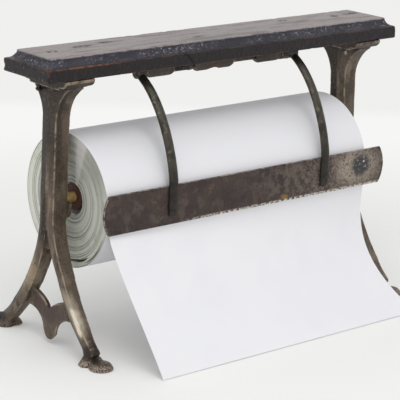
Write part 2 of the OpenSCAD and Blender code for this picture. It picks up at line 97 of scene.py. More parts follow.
def add(tree, kind, settings=None, inputs=None):
    """Adds a node with its settings, and its inputs as values or as sockets to link."""
    node = tree.nodes.new(kind)
    for key, value in (settings or {}).items():
        setattr(node, key, value)
    for key, value in (inputs or {}).items():
        if isinstance(value, bpy.types.NodeSocket):
            tree.links.new(value, node.inputs[key])
        else:
            node.inputs[key].default_value = value
    return node


def mask(tree, place, marks):
    """Product of the marks, each from 0 to 1. Lengths are in mm.
    ("noise", size, low, high, stretch) is a cloudy pattern between two levels.
    ("spot", centre, radii, soft, turn) is one soft-edged patch.
    ("band", axis, start, end) grows along an axis.
    ("edge", attribute, low, high) grows with an attribute."""
    total = None
    for mark in marks:
        kind, rest = mark[0], mark[1:]
        if kind == "noise":
            size, low, high = rest[:3]
            stretch = rest[3] if len(rest) > 3 else (1, 1, 1)
            scaled = add(tree, "ShaderNodeMapping", None,
                         {"Vector": place, "Scale": tuple(s / (size * MM) for s in stretch)})
            value = add(tree, "ShaderNodeTexNoise", None,
                        {"Vector": scaled.outputs["Vector"], "Scale": 1.0, "Detail": 4.0,
                         "Roughness": 0.6}).outputs["Fac"]
        elif kind == "spot":
            centre, radii, soft = rest[:3]
            turn = rest[3] if len(rest) > 3 else (0, 0, 0)
            moved = add(tree, "ShaderNodeMapping", {"vector_type": "TEXTURE"},
                        {"Vector": place, "Location": [c * MM for c in centre],
                         "Rotation": [math.radians(a) for a in turn],
                         "Scale": [r * MM for r in radii]})
            value = add(tree, "ShaderNodeVectorMath", {"operation": "LENGTH"},
                        {0: moved.outputs["Vector"]}).outputs["Value"]
            low, high = 1.0, 1.0 - soft
        elif kind == "band":
            axis, low, high = rest[0], rest[1] * MM, rest[2] * MM
            value = add(tree, "ShaderNodeSeparateXYZ", None,
                        {0: place}).outputs["XYZ".index(axis)]
        else:
            name, low, high = rest
            value = add(tree, "ShaderNodeAttribute", {"attribute_name": name}).outputs["Fac"]
        level = add(tree, "ShaderNodeMapRange", {"interpolation_type": "SMOOTHSTEP"},
                    {"Value": value, "From Min": low, "From Max": high}).outputs["Result"]
        if total is None:
            total = level
        else:
            total = add(tree, "ShaderNodeMath", MULTIPLY, {0: total, 1: level}).outputs["Value"]
    return total


def finish(name, base, rough, layers, bumps, metal=0.0, gleam=0.5):
    """A material from its base colour and roughness. Each layer (colour, roughness, strength,
    marks) covers what lies under it, and each bump (height in mm, marks) raises the surface."""
    mat = bpy.data.materials.new(name)
    mat.use_nodes = True
    tree = mat.node_tree
    tree.nodes.clear()
    shader = add(tree, "ShaderNodeBsdfPrincipled", None,
                 {"Metallic": metal, "Specular IOR Level": gleam})
    add(tree, "ShaderNodeOutputMaterial", None, {"Surface": shader.outputs["BSDF"]})
    place = add(tree, "ShaderNodeTexCoord").outputs["Object"]
    colour, gloss = srgb(base), rough
    for shade, shine, strength, marks in layers:
        share = mask(tree, place, marks)
        if strength < 1:
            share = add(tree, "ShaderNodeMath", MULTIPLY, {0: share, 1: strength}).outputs["Value"]
        colour = add(tree, "ShaderNodeMix", {"data_type": "RGBA"},
                     {"Factor": share, 6: colour, 7: srgb(shade)}).outputs[2]
        gloss = add(tree, "ShaderNodeMix", None, {"Factor": share, 2: gloss, 3: shine}).outputs[0]
    tree.links.new(colour, shader.inputs["Base Color"])
    tree.links.new(gloss, shader.inputs["Roughness"])
    normal = None
    for height, marks in bumps:
        inputs = {"Height": mask(tree, place, marks), "Distance": height * MM, "Strength": 1.0}
        if normal is not None:
            inputs["Normal"] = normal
        normal = add(tree, "ShaderNodeBump", None, inputs).outputs["Normal"]
    tree.links.new(normal, shader.inputs["Normal"])
    return mat


# Materials

# Scuffs and dents in the board's top: place along and across it, and half sizes
DENTS = [(-220, 0.5, 9, 6), (-176, 8, 17, 6), (-141, 14, 13, 6), (-30, -12, 12, 3),
         (120, 14, 9, 4), (197, 7, 8, 6), (228, 10, 15, 7)]
ON_TOP = ("band", "Z", 325.7, 326.4)
ABOVE_SLAB = ("band", "Z", 316.8, 318.2)

# Stained softwood under a dark varnish: pale painted sheen on top, bluish-black cove with flecks,
# brown bare arrises
board_wood = finish(
    "varnished_pine", "#191315", 0.42,
    [("#2b2a33", 0.36, 1, [ABOVE_SLAB]),
     ("#3c3a43", 0.36, 0.8, [("noise", 12, 0.44, 0.6, (0.4, 1, 1)), ABOVE_SLAB]),
     # painted sheen: the top is made pale grey, though its varnished wood is dark brown
     ("#8e8684", 0.36, 0.95, [ON_TOP]),
     # painted sheen over the middle and right of the top, in patches
     ("#878080", 0.38, 0.9, [ON_TOP, ("noise", 30, 0.4, 0.6, (0.22, 1, 1)),
                             ("band", "X", -230, -90)]),
     ("#665e5e", 0.45, 0.75, [ON_TOP, ("noise", 9, 0.48, 0.66, (0.16, 1, 1))]),
     ("#2a2427", 0.5, 0.7, [ON_TOP, ("noise", 4, 0.63, 0.72)]),
     ("#b3b0b9", 0.5, 0.55, [("noise", 2.4, 0.55, 0.65), ("noise", 24, 0.4, 0.56),
                             ("band", "Z", 317, 319), ("band", "Z", 326, 324)]),
     ("#8b8d96", 0.5, 0.5, [("noise", 3, 0.6, 0.68), ("band", "X", -246, -252)]),
     ("#9a8d8c", 0.5, 0.7, [("edge", "ridge", 0.2, 0.5), ("band", "Z", 325, 326),
                            ("noise", 6, 0.44, 0.56)]),
     ("#6b4630", 0.6, 0.6, [("edge", "ridge", 0.35, 0.8), ("band", "Z", 319, 318),
                            ("noise", 14, 0.44, 0.6)]),
     ("#8a5632", 0.6, 0.7, [("edge", "ridge", 0.2, 0.7), ("noise", 6, 0.38, 0.54),
                            ("spot", (-205, -18.5, 314), (62, 10, 9), 0.7)]),
     ("#3a2f33", 0.6, 0.7, [("noise", 1.3, 0.54, 0.66, (1, 1, 0.1)), ("band", "Z", 318, 316.5)]),
     ("#0f0b0c", 0.7, 1, [("spot", (-66, -18.5, 311), (0.9, 6, 11), 0.4, (0, -42, 0))])]
    + [("#3a3436", 0.6, 0.85, [("spot", (x, BOARD_Y + y, BOARD_TOP), (long, wide, 4), 0.5),
                               ("noise", 3.5, 0.36, 0.52, (0.6, 1, 1))])
       for x, y, long, wide in DENTS]
    + [("#d0cac8", 0.4, 0.6, [("spot", (x + 3, BOARD_Y + y + 2, BOARD_TOP), (long, wide, 4), 0.6),
                              ("noise", 3, 0.6, 0.68, (0.5, 1, 1))])
       for x, y, long, wide in DENTS],
    [(0.25, [("noise", 0.9, 0.35, 0.7, (0.25, 1, 0.6))]), (0.5, [("noise", 7, 0.3, 0.7)])],
    gleam=0.3)

# Rubbed places and a painted highlight down the left stand's front leg, from the top, and how they
# lean
WORN_AND_GLARE_SPOTS = [(-223, -12, 66), (-223, -19, 58), (-223, -26, 50), (-223, -32, 42), (-223, -38, 34)]
WORN_AND_GLARE_LEAN = (-38, 0, 0)

# Sand-cast iron, browned by age: grainy skin, bright where hands rub its ridges, a painted
# highlight down the left front leg, painted shade high on the columns and under the board, rust and
# dirt by the front foot, and a pale rim round the foot's pad. The grain is coarser than the sand's,
# which is too fine to show
cast_iron = finish(
    "browned_cast_iron", "#62554a", 0.42,
    [("#43382f", 0.5, 0.8, [("noise", 22, 0.46, 0.64, (1, 1, 0.4))]),
     ("#857866", 0.34, 0.7, [("noise", 16, 0.5, 0.66, (1, 1, 0.35))]),
     # painted shade: the rear halves of the columns, darker from about 110 mm up
     ("#2c2420", 0.5, 0.9, [("band", "Y", 24.5, 28), ("band", "Z", 108, 126)]),
     # painted shade: the board's shadow on the left column's outer face near the top
     ("#2e2723", 0.5, 0.75, [("band", "X", -211, -217), ("band", "Z", 195, 235)]),
     ("#8d7d68", 0.36, 0.3, [("noise", 2.6, 0.52, 0.68)]),
     ("#2e2621", 0.5, 0.5, [("noise", 2.2, 0.46, 0.34)]),
     # painted shade: darker towards the top, under the board
     ("#3d332e", 0.5, 0.7, [("band", "Z", 268, 296)]),
     ("#4a3a38", 0.5, 0.8, [("spot", (-219, 25.5, 42), (16, 34, 22), 0.5)]),
     ("#b8a688", 0.32, 0.6, [("spot", (-222, 62, 82), (16, 28, 32), 0.6),
                             ("noise", 7, 0.28, 0.48)]),
     ("#241e1b", 0.65, 0.7, [("edge", "hollow", 0.3, 0.9)]),
     ("#a3957f", 0.3, 0.75, [("edge", "ridge", 0.25, 0.8), ("noise", 14, 0.38, 0.6)]),
     ("#1e1a18", 0.6, 0.85, [("spot", (-219, 116, 8), (22, 24, 16), 0.4)]),
     ("#2a2320", 0.6, 0.85, [("spot", (-222, -60, 14), (16, 20, 13), 0.5),
                             ("noise", 6, 0.3, 0.5)]),
     ("#9a5a2e", 0.7, 0.85, [("spot", (-228, -61, 26), (8, 13, 7), 0.5),
                             ("noise", 3, 0.36, 0.56)]),
     ("#3a4350", 0.45, 0.8, [("spot", (-227, -63, 19), (6, 5, 4), 0.5)]),
     ("#a8998c", 0.6, 0.85, [("band", "Z", 7, 4.5), ("noise", 2, 0.4, 0.54),
                             ("band", "Y", 60, 40)]),
     ("#15110f", 0.65, 0.9, [("band", "Z", 9, 7), ("noise", 1.7, 0.5, 0.6)]),
     ("#b3a594", 0.4, 0.6, [("spot", (229, -12, 96), (10, 22, 44), 0.6),
                            ("noise", 5, 0.36, 0.56)]),
     ("#c9c2b2", 0.4, 0.8, [("spot", (206, 13, 285), (6, 4, 5), 0.5)])]
    # rubbed places down the left front leg, partly real wear and partly painted highlight
    + [("#c4b8a2", 0.32, 0.5, [("spot", c, (10, 8, 14), 0.8, WORN_AND_GLARE_LEAN)]) for c in WORN_AND_GLARE_SPOTS]
    # painted highlight: glare along the left front leg's arris
    + [("#f0e6d4", 0.25, 0.9, [("spot", c, (9, 3.2, 10), 0.7, WORN_AND_GLARE_LEAN)]) for c in WORN_AND_GLARE_SPOTS[2:]],
    [(0.2, [("noise", 1.6, 0.3, 0.7)]), (0.25, [("noise", 6, 0.35, 0.65)])], metal=0.5)

# Turned and threaded steel, darkened and dull
screw_steel = finish(
    "darkened_screw_steel", "#3f3834", 0.45,
    [("#6c6054", 0.36, 0.8, [("edge", "ridge", 0.3, 0.8)]),
     ("#241d19", 0.6, 0.8, [("noise", 2.5, 0.5, 0.65)])],
    [(0.05, [("noise", 0.5, 0.3, 0.7)])], metal=0.6)

# Forged half-round steel: olive-dark scale with a lighter rubbed side, and painted shade low down
worn_steel = finish(
    "worn_forged_steel", "#454139", 0.38,
    [("#2c2926", 0.5, 0.85, [("noise", 11, 0.46, 0.62)]),
     ("#6f6955", 0.34, 0.7, [("noise", 8, 0.54, 0.7), ("band", "Z", 190, 220)]),
     ("#7f786c", 0.3, 0.6, [("edge", "ridge", 0.3, 0.85), ("noise", 9, 0.42, 0.6)]),
     # painted shade: the arms darker towards the bottom
     ("#24201d", 0.6, 0.7, [("band", "Z", 215, 180)])],
    [(0.08, [("noise", 0.7, 0.3, 0.7)]), (0.15, [("noise", 4, 0.35, 0.65)])], metal=0.55)

# Rolled steel strip, pitted and stained: dark at the left, tan mottling and a blue-grey stain at
# the right, bright nicked edge
bar_steel = finish(
    "pitted_strip_steel", "#433631", 0.42,
    [("#372c2b", 0.48, 0.9, [("noise", 26, 0.4, 0.6, (0.5, 1, 1))]),
     ("#574a44", 0.42, 0.8, [("noise", 13, 0.48, 0.64), ("band", "X", 40, -80)]),
     ("#665a51", 0.4, 0.75, [("band", "X", -40, 60), ("noise", 8, 0.42, 0.6)]),
     ("#7d7167", 0.38, 0.6, [("band", "X", 40, 110), ("noise", 3, 0.46, 0.6)]),
     ("#a09486", 0.42, 0.95, [("spot", (166, -52, 163), (46, 10, 28), 0.6),
                              ("noise", 3.2, 0.34, 0.52)]),
     ("#29211f", 0.6, 0.8, [("noise", 2.2, 0.58, 0.68)]),
     ("#9a8f83", 0.4, 0.5, [("noise", 1.5, 0.64, 0.74)]),
     ("#303037", 0.42, 0.95, [("spot", (173, -52, 164), (21, 8, 19), 0.6),
                              ("noise", 4, 0.34, 0.46)]),
     ("#d4d4d6", 0.5, 0.7, [("spot", (178, -52, 168), (2, 6, 1.6), 0.5)]),
     ("#8a6a3a", 0.5, 0.85, [("spot", (53, -52, 143.5), (7, 8, 4), 0.6)]),
     ("#b8b0a4", 0.3, 0.7, [("edge", "ridge", 0.4, 0.8), ("noise", 6, 0.42, 0.58)]),
     ("#d4cdc2", 0.32, 0.9, [("band", "Z", 142.4, 139.8), ("noise", 4, 0.42, 0.54),
                             ("band", "X", -110, -50)])],
    [(0.12, [("noise", 1.4, 0.3, 0.7)]), (0.3, [("noise", 3.4, 0.5, 0.75)])], metal=0.45)

# Drawn spring wire, dark and slightly glossy
spring_steel = finish(
    "drawn_spring_wire", "#57504a", 0.34,
    [("#35302c", 0.45, 0.8, [("noise", 3, 0.48, 0.62)])],
    [(0.03, [("noise", 0.4, 0.3, 0.7)])], metal=0.7)

# Turned beech stained reddish brown: fine streaks along it and a dull surface
mandrel_wood = finish(
    "stained_beech", "#4c3022", 0.6,
    [("#3a1e15", 0.65, 0.8, [("noise", 3, 0.45, 0.62, (0.08, 1, 1))]),
     ("#7d4a30", 0.6, 0.6, [("noise", 1.2, 0.55, 0.7, (0.1, 1, 1))])],
    [(0.15, [("noise", 0.8, 0.3, 0.7, (0.1, 1, 1))])], gleam=0.3)

# Turned brass, gone dull and olive
journal_brass = finish(
    "dull_brass", "#b39560", 0.45,
    [("#8d7446", 0.5, 0.8, [("noise", 3, 0.46, 0.62)]),
     ("#cdb37c", 0.36, 0.6, [("edge", "ridge", 0.3, 0.8)])],
    [(0.05, [("noise", 0.6, 0.3, 0.7)])], metal=0.35)

# Wound wrapping paper: white outside, grey-green ivory where the layers' edges show, with painted
# light paler at the back, painted shade darker high in front and painted shade in the crescent gaps
LAYER_EDGES = ("edge", "rim", 0.02, 0.1)
roll_paper = finish(
    "wound_white_paper", "#e6e6ea", 0.8,
    [("#c3c5bb", 0.85, 1, [LAYER_EDGES]),
     # painted light: the ends paler towards the back
     ("#e6e7dc", 0.85, 0.95, [LAYER_EDGES, ("band", "Y", 30, 75)]),
     # painted shade: the ends darker high in front
     ("#84867d", 0.85, 0.6, [LAYER_EDGES, ("band", "Y", 15, -25), ("band", "Z", 172, 205)]),
     ("#9fa298", 0.85, 0.8, [("edge", "rim", 0.45, 0.95), LAYER_EDGES]),
     ("#66675f", 0.85, 0.55, [("edge", "rim", 0.84, 0.93), ("noise", 26, 0.4, 0.56)]),
     ("#8e9188", 0.85, 0.4, [LAYER_EDGES, ("noise", 20, 0.5, 0.7)]),
     ("#dad6d4", 0.85, 0.8, [LAYER_EDGES, ("edge", "wedge", 0.1, 0.9)]),
     # painted shade in the crescent gaps between layers
     ("#55534c", 0.9, 0.9, [("edge", "gap", 0.2, 0.8)])],
    [(0.04, [("noise", 0.6, 0.3, 0.7)])])

# Machine-glazed wrapping paper: smooth white, very slightly uneven
sheet_paper = finish(
    "white_wrapping_paper", "#ededf1", 0.72,
    [("#e4e4ea", 0.78, 0.25, [("noise", 90, 0.42, 0.62)])],
    [(0.03, [("noise", 0.6, 0.3, 0.7)]), (0.08, [("noise", 45, 0.3, 0.7)])])


# Mesh helpers

def link_piece(name, mesh):
    obj = bpy.data.objects.new(name, mesh)
    scene.collection.objects.link(obj)
    return obj


def evaluated(obj):
    """Plain mesh of an object with its modifiers applied, in the object's place."""
    graph = bpy.context.evaluated_depsgraph_get()
    mesh = bpy.data.meshes.new_from_object(obj.evaluated_get(graph))
    obj.modifiers.clear()
    obj.data = mesh
    return mesh


def turned_out(mesh):
    """Turns the faces of a closed mesh outwards."""
    work = bmesh.new()
    work.from_mesh(mesh)
    bmesh.ops.recalc_face_normals(work, faces=work.faces)
    work.to_mesh(mesh)
    work.free()


def smoothed(mesh, crease):
    """Smooth shading up to this angle between faces, in degrees."""
    mesh.shade_smooth()
    mesh.set_sharp_from_angle(angle=math.radians(crease))


def points_of(mesh):
    co = np.empty(len(mesh.vertices) * 3)
    mesh.vertices.foreach_get("co", co)
    return co.reshape(-1, 3) / MM


def set_points(mesh, points):
    mesh.vertices.foreach_set("co", (points * MM).ravel())
    mesh.update()


def normals_of(mesh):
    out = np.empty(len(mesh.vertices) * 3)
    mesh.vertex_normals.foreach_get("vector", out)
    return out.reshape(-1, 3)


def clouds(points, size, seed):
    """Smooth noise from -1 to 1 at each point, size mm across."""
    shift = Vector((seed * 17.3, seed * 5.9, seed * 11.1))
    return np.array([noise.noise(Vector(p) + shift) for p in points / size])


def neighbour_mean(mesh):
    """A function that gives the mean of each point's neighbours."""
    pairs = np.empty(len(mesh.edges) * 2, dtype=np.int64)
    mesh.edges.foreach_get("vertices", pairs)
    a, b = pairs.reshape(-1, 2).T
    total = len(mesh.vertices)
    count = np.bincount(a, minlength=total) + np.bincount(b, minlength=total)

    def mean(values):
        sums = [np.bincount(a, values[b, k], total) + np.bincount(b, values[a, k], total)
                for k in range(3)]
        return np.stack([s / count for s in sums], axis=1)
    return mean


def edge_levels(points, normals, mean):
    """How far each point stands out of its surroundings, and how far it sinks in, from 0 to 1."""
    soft = points.copy()
    for _ in range(8):
        soft = mean(soft)
    bend = ((points - soft) * normals).sum(axis=1)
    top = np.percentile(np.abs(bend), 98) + 1e-9
    return np.clip(bend / top, 0, 1), np.clip(-bend / top, 0, 1)


def store(mesh, name, values):
    attribute = mesh.attributes.new(name, "FLOAT", "POINT")
    attribute.data.foreach_set("value", values.astype(np.float32))


def bezier(p, t):
    p = [np.array(q, float) for q in p]
    return ((1 - t) ** 3 * p[0] + 3 * t * (1 - t) ** 2 * p[1]
            + 3 * t * t * (1 - t) * p[2] + t ** 3 * p[3])


# Pieces made from the CAD nodes. Each shape takes a skin (its points in mm, their normals, how
# much each is a ridge, and the neighbours' mean) and gives the points' new places

# Ends of the crack in the board's front, along it and up
CRACK = np.array([(-73.0, 317.6), (-59.0, 304.0)])


def aged_board(skin):
    """Worn and chipped arrises, dents in the top and a crack in the front."""
    wear, chip, dent, cleft, half_width = 0.25, 1.0, 0.8, 0.9, 1.1
    worn = 0.35 + 0.65 * np.clip(0.5 + clouds(skin.points, 18, 1), 0, 1)
    chips = (np.clip(clouds(skin.points, 7, 2) * 2.6 - 0.7, 0, 1)
             * np.clip(skin.ridge * 2 - 0.3, 0, 1))
    points = skin.points - skin.normals * (wear * skin.ridge * worn + chip * chips)[:, None]
    dug = np.clip(0.5 + clouds(points, 4, 9) * 1.6, 0, 1)
    top, front = skin.normals[:, 2] > 0.4, skin.normals[:, 1] < -0.6
    for x, y, long, wide in DENTS:
        away = np.hypot((points[:, 0] - x) / long, (points[:, 1] - BOARD_Y - y) / wide)
        points[:, 2] -= dent * np.exp(-away ** 2 * 1.6) * dug * top
    start, run = CRACK[0], CRACK[1] - CRACK[0]
    place = points[:, [0, 2]]
    along = np.clip(((place - start) @ run) / (run @ run), 0, 1)
    off = np.linalg.norm(place - (start + along[:, None] * run), axis=1)
    points[:, 1] += cleft * np.exp(-(off / half_width) ** 2) * front
    return points


def cast_skin(skin):
    """Uneven sand-cast skin, kept just under the CAD's."""
    swell = 0.12 * clouds(skin.points, 9, 3) + 0.05 * clouds(skin.points, 2.6, 4)
    return skin.points - skin.normals * (0.1 + swell)[:, None]


def cast_stand(skin):
    """Uneven skin, legs that flow into their feet, and a front leg that stands further forward
    halfway down."""
    flow_rounds, leg_inside, leg_outside = 45, 10, 8
    forward, inner_share, taper = 4.6, 1.3, 0.6
    points = cast_skin(skin)
    flow = np.interp(points[:, 2], [1, 6, 26, 36], [0, 0.6, 0.6, 0])[:, None]
    for _ in range(flow_rounds):
        points = points + flow * (skin.mean(points) - points)
    path = np.array([bezier(LEG_PATH, t) for t in np.linspace(0, 1, 60)])
    z, out = points[:, 2], STAND_Y - points[:, 1]
    middle = np.interp(z, path[::-1, 1], path[::-1, 0])
    inner, outer = middle - leg_inside, middle + leg_outside
    reach = forward * np.interp(z, [7, 16, 84, 128], [0, 1, 1, 0])
    before_leg = inner_share * np.clip(out / np.maximum(inner, 4), 0, 1)
    in_leg = inner_share - taper * np.clip((out - inner) / (outer - inner), 0, 1)
    points[:, 1] -= reach * np.where(out < inner, before_leg, in_leg)
    return points


def pitted_bar(skin):
    """Shallow pits, and nicks in the cutting edge, deepest in its middle."""
    pits = 0.06 * np.clip(clouds(skin.points, 3.2, 5), 0, 1)
    points = skin.points - skin.normals * pits[:, None]
    x = points[:, 0]
    line = np.stack([x, np.zeros_like(x), np.zeros_like(x)], axis=1)
    deep = 0.25 + 0.75 * np.exp(-((x - 15) / 60) ** 4)
    nick = deep * (0.9 * np.clip(clouds(line, 5, 6), 0, 1)
                   + 0.7 * np.clip(clouds(line, 1.9, 7), 0, 1))
    points[:, 2] = np.maximum(points[:, 2], BLADE_LOW + nick)
    return points


def forged(skin):
    """Slightly uneven forged surface, and an arc that is a little flatter in its middle."""
    points = skin.points - skin.normals * (0.04 + 0.05 * clouds(skin.points, 6, 8))[:, None]
    arc_low, arc_high, flatter = BLADE_TOP + 6, PIVOT_Z - 12, 3.0
    up = np.clip((points[:, 2] - arc_low) / (arc_high - arc_low), 0, 1)
    points[:, 1] += flatter * np.sin(math.pi * up)
    return points


def remade(node, body, material, voxel, rounds, shape=None):
    """A finely meshed copy of a CAD node with softened edges, which takes the node's place. It
    carries how much each point is a ridge or a hollow."""
    mesh = nodes[node].data.copy()
    mesh.materials.clear()
    work = bmesh.new()
    work.from_mesh(mesh)
    bmesh.ops.remove_doubles(work, verts=work.verts, dist=1e-6)
    work.to_mesh(mesh)
    work.free()
    obj = link_piece(node + "_piece", mesh)
    fine = obj.modifiers.new("fine", "REMESH")
    fine.mode = "VOXEL"
    fine.voxel_size = voxel * MM
    fine.use_smooth_shade = True
    soften = obj.modifiers.new("soften", "SMOOTH")
    soften.factor = 0.5
    soften.iterations = rounds
    mesh = evaluated(obj)
    points, normals, mean = points_of(mesh), normals_of(mesh), neighbour_mean(mesh)
    ridge, hollow = edge_levels(points, normals, mean)
    if shape:
        points = shape(SimpleNamespace(points=points, normals=normals, ridge=ridge, mean=mean))
        low, high = (np.array(c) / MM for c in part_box(node))
        set_points(mesh, np.clip(points, low, high))
    store(mesh, "ridge", ridge)
    store(mesh, "hollow", hollow)
    mesh.materials.append(material)
    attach(obj, body)
    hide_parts(node)


# Node, body, material, voxel size in mm, smoothing rounds, shape
remade("board", "root", board_wood, 1.15, 1, aged_board)
remade("stand_left", "root", cast_iron, 0.9, 8, cast_stand)
remade("stand_right", "root", cast_iron, 0.9, 8, cast_stand)
remade("hinge_plate", "root", cast_iron, 0.7, 3, cast_skin)
remade("stand_screws_left", "root", screw_steel, 0.35, 2)
remade("stand_screws_right", "root", screw_steel, 0.35, 2)
remade("hinge_plate_screws", "root", screw_steel, 0.35, 2)
remade("pivot_rod", "cutter", worn_steel, 0.5, 2)
remade("arm_left", "cutter", worn_steel, 0.6, 5, forged)
remade("arm_right", "cutter", worn_steel, 0.6, 5, forged)
remade("arm_pins", "cutter", worn_steel, 0.25, 1)
remade("cutter_bar", "cutter", bar_steel, 0.75, 1, pitted_bar)
remade("cutter_rivets", "cutter", worn_steel, 0.3, 1)
remade("spring_collar", "cutter", worn_steel, 0.3, 2)
remade("mandrel", "spindle", mandrel_wood, 0.9, 2)
remade("journal_left", "spindle", journal_brass, 0.45, 2)
remade("journal_right", "spindle", journal_brass, 0.45, 2)


# Pieces made by Geometry Nodes

def node_tree(name, numbers):
    """A geometry tree with one named input for each number, those inputs, and its output node."""
    tree = bpy.data.node_groups.new(name, "GeometryNodeTree")
    for way in ("OUTPUT", "INPUT"):
        tree.interface.new_socket("Geometry", in_out=way, socket_type="NodeSocketGeometry")
    for key, value in numbers.items():
        kind = "NodeSocketInt" if isinstance(value, int) else "NodeSocketFloat"
        tree.interface.new_socket(key, in_out="INPUT", socket_type=kind)
    return tree, add(tree, "NodeGroupInput").outputs, add(tree, "NodeGroupOutput")


def ended(tree, geometry, place, material, result):
    """The tree's end: moved to its place in mm, instances realised and material set."""
    moved = add(tree, "GeometryNodeTransform", None,
                {"Geometry": geometry, "Translation": [c * MM for c in place]})
    real = add(tree, "GeometryNodeRealizeInstances", None, {0: moved.outputs[0]})
    painted = add(tree, "GeometryNodeSetMaterial", None,
                  {"Geometry": real.outputs[0], "Material": material})
    tree.links.new(painted.outputs[0], result.inputs[0])


def grown(name, tree, numbers):
    """Plain mesh piece that a geometry tree makes with these numbers."""
    obj = link_piece(name, bpy.data.meshes.new(name))
    growth = obj.modifiers.new("growth", "NODES")
    growth.node_group = tree
    for item in tree.interface.items_tree:
        if item.in_out == "INPUT" and item.name in numbers:
            growth[item.identifier] = numbers[item.name]
    turned_out(evaluated(obj))
    return obj


def layered_end(tree, given, u, left):
    """Rule of one end of the roll, u from its bore to its outside: radius, place along the roll,
    and how far in or out the layer ends. The middle of the roll has slipped to the right."""
    dish_power, corner, least = 1.3, 0.004, 0.15
    radius = add(tree, "ShaderNodeMapRange", None,
                 {"Value": u, "To Min": given["Bore"], "To Max": given["Radius"]}).outputs["Result"]
    turns = add(tree, "ShaderNodeMath", MULTIPLY, {0: u, 1: given["Layers"]}).outputs[0]
    turns = add(tree, "ShaderNodeMath", ADD, {0: turns, 1: 0.01}).outputs[0]
    layer = add(tree, "ShaderNodeMath", {"operation": "FLOOR"}, {0: turns}).outputs[0]
    chance = add(tree, "FunctionNodeRandomValue", {"data_type": "FLOAT"},
                 {"Min": 0.0, "Max": 1.0, "ID": layer, "Seed": 3 if left else 8}).outputs[1]
    inward = add(tree, "ShaderNodeMath", SUBTRACT, {0: 1.0, 1: u}).outputs[0]
    curve = add(tree, "ShaderNodeMath", {"operation": "POWER"},
                {0: inward, 1: dish_power}).outputs[0]
    dish = add(tree, "ShaderNodeMath", MULTIPLY, {0: curve, 1: given["Slip"]}).outputs[0]
    after = add(tree, "ShaderNodeMath", {"operation": "GREATER_THAN"},
                {0: u, 1: corner}).outputs[0]
    before = add(tree, "ShaderNodeMath", {"operation": "LESS_THAN"},
                 {0: u, 1: 1 - corner}).outputs[0]
    inside = add(tree, "ShaderNodeMath", MULTIPLY, {0: after, 1: before}).outputs[0]
    rough = add(tree, "ShaderNodeMath", MULTIPLY, {0: chance, 1: given["Unevenness"]}).outputs[0]
    rough = add(tree, "ShaderNodeMath", MULTIPLY, {0: rough, 1: inside}).outputs[0]
    along = add(tree, "ShaderNodeMath", ADD if left else SUBTRACT, {0: dish, 1: rough}).outputs[0]
    if not left:
        along = add(tree, "ShaderNodeMath", ADD, {0: along, 1: given["Length"]}).outputs[0]
    level = add(tree, "ShaderNodeMath", MULTIPLY_ADD,
                {0: chance, 1: 1 - least, 2: least}).outputs[0]
    level = add(tree, "ShaderNodeMath", MULTIPLY, {0: level, 1: inside}).outputs[0]
    return radius, along, level


def wound_roll():
    """Roll whose layers each end a little further in or out: its two ends, its outside and its
    bore, joined to a closed ring. A single turn of paper is too fine to show, so each layer
    stands for several turns."""
    numbers = {"Radius": ROLL_R * MM, "Bore": BORE_R * MM, "Length": PAPER_W * MM,
               "Slip": ROLL_SLIP * MM, "Unevenness": 0.55 * MM, "Layers": 56, "Around": 128}
    tree, given, result = node_tree("wound_roll", numbers)
    joined = add(tree, "GeometryNodeJoinGeometry")
    end_steps = add(tree, "ShaderNodeMath", MULTIPLY_ADD,
                    {0: given["Layers"], 1: 3.0, 2: 1.0}).outputs[0]
    around = add(tree, "ShaderNodeMath", ADD, {0: given["Around"], 1: 1.0}).outputs[0]
    for wall, steps in (("left", end_steps), ("right", end_steps), ("outside", 25), ("bore", 5)):
        grid = add(tree, "GeometryNodeMeshGrid", None,
                   {"Size X": 1.0, "Size Y": 1.0, "Vertices X": steps, "Vertices Y": around})
        spot = add(tree, "ShaderNodeSeparateXYZ", None,
                   {0: add(tree, "GeometryNodeInputPosition").outputs[0]}).outputs
        u = add(tree, "ShaderNodeMath", ADD, {0: spot["X"], 1: 0.5}).outputs[0]
        v = add(tree, "ShaderNodeMath", ADD, {0: spot["Y"], 1: 0.5}).outputs[0]
        angle = add(tree, "ShaderNodeMath", MULTIPLY, {0: v, 1: math.tau}).outputs[0]
        if wall in ("left", "right"):
            radius, along, level = layered_end(tree, given, u, wall == "left")
        else:
            radius = given["Radius"] if wall == "outside" else given["Bore"]
            start = 0.0 if wall == "outside" else given["Slip"]
            along = add(tree, "ShaderNodeMath", MULTIPLY_ADD,
                        {0: u, 1: given["Length"], 2: start}).outputs[0]
            level = 0.0
        cosine = add(tree, "ShaderNodeMath", {"operation": "COSINE"}, {0: angle}).outputs[0]
        sine = add(tree, "ShaderNodeMath", {"operation": "SINE"}, {0: angle}).outputs[0]
        side = add(tree, "ShaderNodeMath", MULTIPLY, {0: cosine, 1: radius}).outputs[0]
        height = add(tree, "ShaderNodeMath", MULTIPLY, {0: sine, 1: radius}).outputs[0]
        bent = add(tree, "ShaderNodeCombineXYZ", None, {"X": along, "Y": side, "Z": height})
        marked = add(tree, "GeometryNodeStoreNamedAttribute",
                     {"data_type": "FLOAT", "domain": "POINT"},
                     {"Geometry": grid.outputs["Mesh"], "Name": "rim", "Value": level})
        placed = add(tree, "GeometryNodeSetPosition", None,
                     {"Geometry": marked.outputs[0], "Position": bent.outputs[0]})
        tree.links.new(placed.outputs[0], joined.inputs[0])
    closed = add(tree, "GeometryNodeMergeByDistance", None,
                 {"Geometry": joined.outputs[0], "Distance": 1e-5})
    ended(tree, closed.outputs[0], (ROLL_LEFT, ROLL_Y, ROLL_Z), roll_paper, result)
    return grown("wound_paper", tree, numbers)


# Crescents low in the roll's left end, where outer layers have dropped: middle and half of their
# span in degrees, and radius. Then the paler sector above the bore, in degrees
DROPPED = [(-97, 15, 67.0), (-112, 13, 68.2), (-137, 20, 71.9)]
DROPPED_WIDTH, DROPPED_DEPTH = 0.7, 7
SECTOR, SECTOR_HALF = 111, 7


